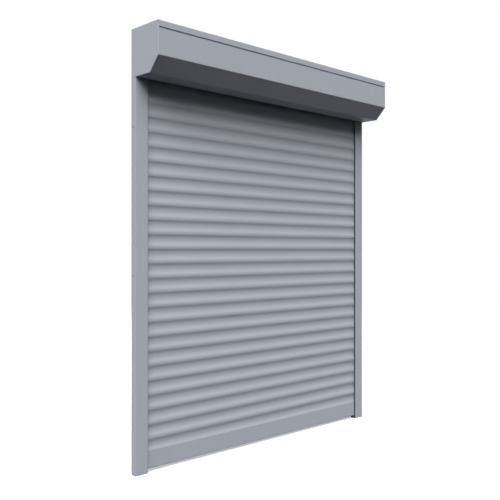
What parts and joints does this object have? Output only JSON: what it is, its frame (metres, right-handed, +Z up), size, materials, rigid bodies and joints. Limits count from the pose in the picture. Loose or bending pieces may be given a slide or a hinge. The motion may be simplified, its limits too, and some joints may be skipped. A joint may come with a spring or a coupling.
{
  "type": "exterior roller shutter",
  "caption": "Roller shutter with a bevelled box over the opening, side guide rails and a closed curtain of hooked, hollow-faced slats ending in a tall bottom bar.",
  "frame": {"origin": "on the wall plane, level with the foot of the guide rails, halfway between them", "axes": "+Z up, +Y into the wall, +X along the shaft towards the motor end, the right as seen from outside"},
  "size_m": [1.112, 0.136, 1.3518],
  "materials": {
    "coated_panel": "satin powder coat",
    "coated_cap": "satin powder coat",
    "coated_rail": "satin powder coat",
    "coated_slat": "satin baked coat",
    "coated_bar": "satin powder coat",
    "black_rubber": "matt",
    "black_plastic": "fine moulded grain",
    "grey_plastic": "moulded",
    "galvanised_steel": "zinc spangle",
    "spring_steel": "blued, rolled grain",
    "bearing_steel": "ground",
    "motor_casing": "drawn tube",
    "motor_plastic": "moulded",
    "adjuster": "moulded",
    "zinc_screw": "zinc plated"
  },
  "bodies": {
    "frame": {"rear_panel": "coated_panel", "end_cap_left": "coated_cap", "end_cap_right": "coated_cap", "guide_rail_left": "coated_rail", "guide_rail_right": "coated_rail", "guide_gaskets_left": "black_rubber", "guide_gaskets_right": "black_rubber", "guide_plug_left": "black_plastic", "guide_plug_right": "black_plastic", "inlet_funnel_left": "black_plastic", "inlet_funnel_right": "black_plastic", "bearing_holder": "grey_plastic", "bearing_outer_race": "bearing_steel", "motor_bracket": "galvanised_steel", "motor_tube": "motor_casing", "motor_head": "motor_plastic", "bracket_screws": "zinc_screw", "panel_screws": "zinc_screw", "cable_grommet": "black_rubber", "hanger_straps": "spring_steel"},
    "shaft": {"shaft_tube": "galvanised_steel", "roller_capsule": "grey_plastic", "capsule_pin": "bearing_steel", "bearing_inner_race": "bearing_steel", "crown_adapter": "grey_plastic", "drive_wheel": "grey_plastic", "motor_spindle": "bearing_steel", "strap_clips": "galvanised_steel"},
    "ball_set": {"bearing_balls": "bearing_steel"},
    "cover": {"inspection_cover": "coated_panel"},
    "upper_limit": {"limit_screw_up": "adjuster"},
    "lower_limit": {"limit_screw_down": "adjuster"},
    "bar": {"bottom_bar": "coated_bar", "bottom_seal": "black_rubber"},
    "slat_01": {"slat_01": "coated_slat"},
    "slat_02": {"slat_02": "coated_slat"},
    "slat_03": {"slat_03": "coated_slat"},
    "slat_04": {"slat_04": "coated_slat"},
    "slat_05": {"slat_05": "coated_slat"},
    "slat_06": {"slat_06": "coated_slat"},
    "slat_07": {"slat_07": "coated_slat"},
    "slat_08": {"slat_08": "coated_slat"},
    "slat_09": {"slat_09": "coated_slat"},
    "slat_10": {"slat_10": "coated_slat"},
    "slat_11": {"slat_11": "coated_slat"},
    "slat_12": {"slat_12": "coated_slat"},
    "slat_13": {"slat_13": "coated_slat"},
    "slat_14": {"slat_14": "coated_slat"},
    "slat_15": {"slat_15": "coated_slat"},
    "slat_16": {"slat_16": "coated_slat"},
    "slat_17": {"slat_17": "coated_slat"},
    "slat_18": {"slat_18": "coated_slat"},
    "slat_19": {"slat_19": "coated_slat"},
    "slat_20": {"slat_20": "coated_slat"},
    "slat_21": {"slat_21": "coated_slat"},
    "slat_22": {"slat_22": "coated_slat"},
    "slat_23": {"slat_23": "coated_slat"},
    "slat_24": {"slat_24": "coated_slat"},
    "slat_25": {"slat_25": "coated_slat"}
  },
  "joints": [
    {"name": "shaft_turn", "type": "hinge", "parent": "frame", "child": "shaft", "pos_m": [0, -0.068, 1.27797], "axis": [1, 0, 0], "range_deg": [0, 185.53]},
    {"name": "ball_set_turn", "type": "hinge", "parent": "frame", "child": "ball_set", "pos_m": [0, -0.068, 1.27797], "axis": [1, 0, 0], "range_deg": [0, 76.63]},
    {"name": "cover_swing", "type": "hinge", "parent": "frame", "child": "cover", "pos_m": [0, -0.132, 1.3273], "axis": [-1, 0, 0], "range_deg": [0, 65]},
    {"name": "upper_limit_turn", "type": "hinge", "parent": "frame", "child": "upper_limit", "pos_m": [0.531, -0.076, 1.25], "axis": [0, 0, 1], "continuous": true},
    {"name": "lower_limit_turn", "type": "hinge", "parent": "frame", "child": "lower_limit", "pos_m": [0.531, -0.06, 1.25], "axis": [0, 0, 1], "continuous": true},
    {"name": "bar_slide", "type": "slide", "parent": "frame", "child": "bar", "axis": [0, 0, 1], "range_m": [0, 0.02301]},
    {"name": "slat_01_slide", "type": "slide", "parent": "frame", "child": "slat_01", "axis": [0, 0, 1], "range_m": [0, 0.02481]},
    {"name": "slat_02_slide", "type": "slide", "parent": "frame", "child": "slat_02", "axis": [0, 0, 1], "range_m": [0, 0.02661]},
    {"name": "slat_03_slide", "type": "slide", "parent": "frame", "child": "slat_03", "axis": [0, 0, 1], "range_m": [0, 0.02841]},
    {"name": "slat_04_slide", "type": "slide", "parent": "frame", "child": "slat_04", "axis": [0, 0, 1], "range_m": [0, 0.03021]},
    {"name": "slat_05_slide", "type": "slide", "parent": "frame", "child": "slat_05", "axis": [0, 0, 1], "range_m": [0, 0.03201]},
    {"name": "slat_06_slide", "type": "slide", "parent": "frame", "child": "slat_06", "axis": [0, 0, 1], "range_m": [0, 0.03381]},
    {"name": "slat_07_slide", "type": "slide", "parent": "frame", "child": "slat_07", "axis": [0, 0, 1], "range_m": [0, 0.03561]},
    {"name": "slat_08_slide", "type": "slide", "parent": "frame", "child": "slat_08", "axis": [0, 0, 1], "range_m": [0, 0.03741]},
    {"name": "slat_09_slide", "type": "slide", "parent": "frame", "child": "slat_09", "axis": [0, 0, 1], "range_m": [0, 0.03921]},
    {"name": "slat_10_slide", "type": "slide", "parent": "frame", "child": "slat_10", "axis": [0, 0, 1], "range_m": [0, 0.04101]},
    {"name": "slat_11_slide", "type": "slide", "parent": "frame", "child": "slat_11", "axis": [0, 0, 1], "range_m": [0, 0.04281]},
    {"name": "slat_12_slide", "type": "slide", "parent": "frame", "child": "slat_12", "axis": [0, 0, 1], "range_m": [0, 0.04461]},
    {"name": "slat_13_slide", "type": "slide", "parent": "frame", "child": "slat_13", "axis": [0, 0, 1], "range_m": [0, 0.04641]},
    {"name": "slat_14_slide", "type": "slide", "parent": "frame", "child": "slat_14", "axis": [0, 0, 1], "range_m": [0, 0.04821]},
    {"name": "slat_15_slide", "type": "slide", "parent": "frame", "child": "slat_15", "axis": [0, 0, 1], "range_m": [0, 0.05001]},
    {"name": "slat_16_slide", "type": "slide", "parent": "frame", "child": "slat_16", "axis": [0, 0, 1], "range_m": [0, 0.05181]},
    {"name": "slat_17_slide", "type": "slide", "parent": "frame", "child": "slat_17", "axis": [0, 0, 1], "range_m": [0, 0.05361]},
    {"name": "slat_18_slide", "type": "slide", "parent": "frame", "child": "slat_18", "axis": [0, 0, 1], "range_m": [0, 0.05541]},
    {"name": "slat_19_slide", "type": "slide", "parent": "frame", "child": "slat_19", "axis": [0, 0, 1], "range_m": [0, 0.05721]},
    {"name": "slat_20_slide", "type": "slide", "parent": "frame", "child": "slat_20", "axis": [0, 0, 1], "range_m": [0, 0.05901]},
    {"name": "slat_21_slide", "type": "slide", "parent": "frame", "child": "slat_21", "axis": [0, 0, 1], "range_m": [0, 0.06081]},
    {"name": "slat_22_slide", "type": "slide", "parent": "frame", "child": "slat_22", "axis": [0, 0, 1], "range_m": [0, 0.06261]},
    {"name": "slat_23_slide", "type": "slide", "parent": "frame", "child": "slat_23", "axis": [0, 0, 1], "range_m": [0, 0.06441]},
    {"name": "slat_24_slide", "type": "slide", "parent": "frame", "child": "slat_24", "axis": [0, 0, 1], "range_m": [0, 0.06621]},
    {"name": "slat_25_slide", "type": "slide", "parent": "frame", "child": "slat_25", "axis": [0, 0, 1], "range_m": [0, 0.06801], "deforming": ["hanger_straps"]}
  ],
  "couplings": [
    {"joint": "ball_set_turn", "follows": "shaft_turn", "ratio": 0.4125},
    {"joint": "bar_slide", "follows": "shaft_turn", "m_per_rad": 0.0071029},
    {"joint": "slat_01_slide", "follows": "shaft_turn", "m_per_rad": 0.0076588},
    {"joint": "slat_02_slide", "follows": "shaft_turn", "m_per_rad": 0.0082147},
    {"joint": "slat_03_slide", "follows": "shaft_turn", "m_per_rad": 0.0087706},
    {"joint": "slat_04_slide", "follows": "shaft_turn", "m_per_rad": 0.0093265},
    {"joint": "slat_05_slide", "follows": "shaft_turn", "m_per_rad": 0.0098824},
    {"joint": "slat_06_slide", "follows": "shaft_turn", "m_per_rad": 0.010438},
    {"joint": "slat_07_slide", "follows": "shaft_turn", "m_per_rad": 0.010994},
    {"joint": "slat_08_slide", "follows": "shaft_turn", "m_per_rad": 0.01155},
    {"joint": "slat_09_slide", "follows": "shaft_turn", "m_per_rad": 0.012106},
    {"joint": "slat_10_slide", "follows": "shaft_turn", "m_per_rad": 0.012662},
    {"joint": "slat_11_slide", "follows": "shaft_turn", "m_per_rad": 0.013218},
    {"joint": "slat_12_slide", "follows": "shaft_turn", "m_per_rad": 0.013773},
    {"joint": "slat_13_slide", "follows": "shaft_turn", "m_per_rad": 0.014329},
    {"joint": "slat_14_slide", "follows": "shaft_turn", "m_per_rad": 0.014885},
    {"joint": "slat_15_slide", "follows": "shaft_turn", "m_per_rad": 0.015441},
    {"joint": "slat_16_slide", "follows": "shaft_turn", "m_per_rad": 0.015997},
    {"joint": "slat_17_slide", "follows": "shaft_turn", "m_per_rad": 0.016553},
    {"joint": "slat_18_slide", "follows": "shaft_turn", "m_per_rad": 0.017109},
    {"joint": "slat_19_slide", "follows": "shaft_turn", "m_per_rad": 0.017665},
    {"joint": "slat_20_slide", "follows": "shaft_turn", "m_per_rad": 0.018221},
    {"joint": "slat_21_slide", "follows": "shaft_turn", "m_per_rad": 0.018777},
    {"joint": "slat_22_slide", "follows": "shaft_turn", "m_per_rad": 0.019332},
    {"joint": "slat_23_slide", "follows": "shaft_turn", "m_per_rad": 0.019888},
    {"joint": "slat_24_slide", "follows": "shaft_turn", "m_per_rad": 0.020444},
    {"joint": "slat_25_slide", "follows": "shaft_turn", "m_per_rad": 0.021}
  ]
}
